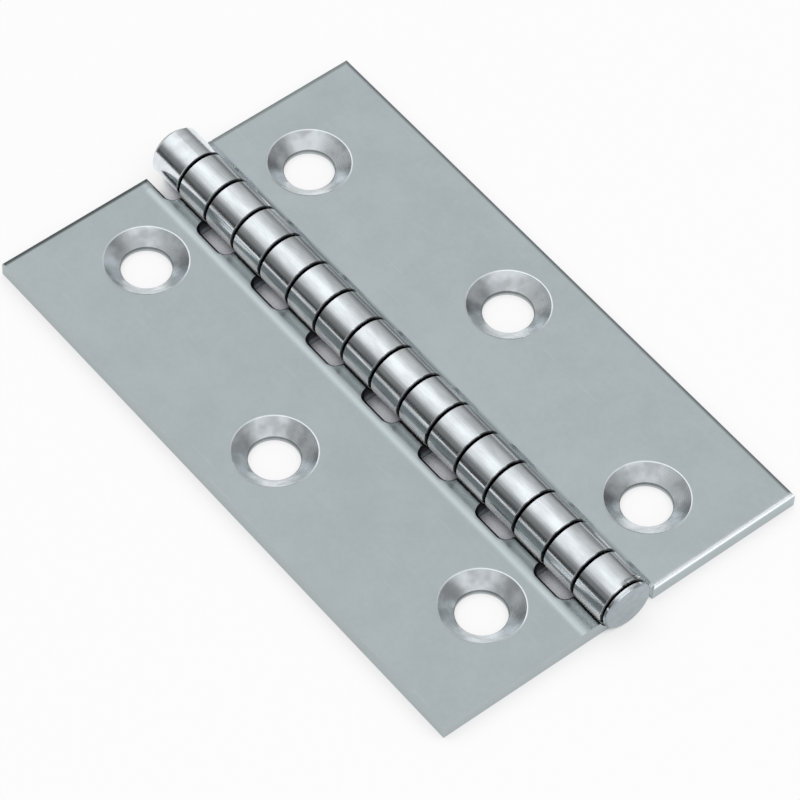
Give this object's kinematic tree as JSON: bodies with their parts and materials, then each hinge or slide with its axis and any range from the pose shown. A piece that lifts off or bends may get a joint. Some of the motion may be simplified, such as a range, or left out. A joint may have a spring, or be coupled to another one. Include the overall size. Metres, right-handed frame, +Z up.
{
  "type": "butt hinge",
  "caption": "Narrow steel butt hinge, open and flat, with interleaved rolled knuckles on a headed pin and staggered countersunk screw holes in both leaves.",
  "frame": {"origin": "middle of the hinge between its ends, under the barrel's axis, on the backs of the leaves", "axes": "+X across to the right leaf, +Y along the barrel towards the pin's long head, +Z up out of the countersunk faces"},
  "size_m": [0.0504, 0.0817, 0.0066],
  "materials": {
    "satin_steel": "satin, brighter on the rolled knuckles",
    "bright_steel": "bright turned"
  },
  "bodies": {
    "left_side": {"left_leaf": "satin_steel", "pin": "bright_steel"},
    "right_side": {"right_leaf": "satin_steel"}
  },
  "joints": [
    {"name": "leaf_swing", "type": "hinge", "parent": "left_side", "child": "right_side", "pos_m": [0, 0, 0.0033], "axis": [0, -1, 0], "range_deg": [-100, 180]}
  ]
}
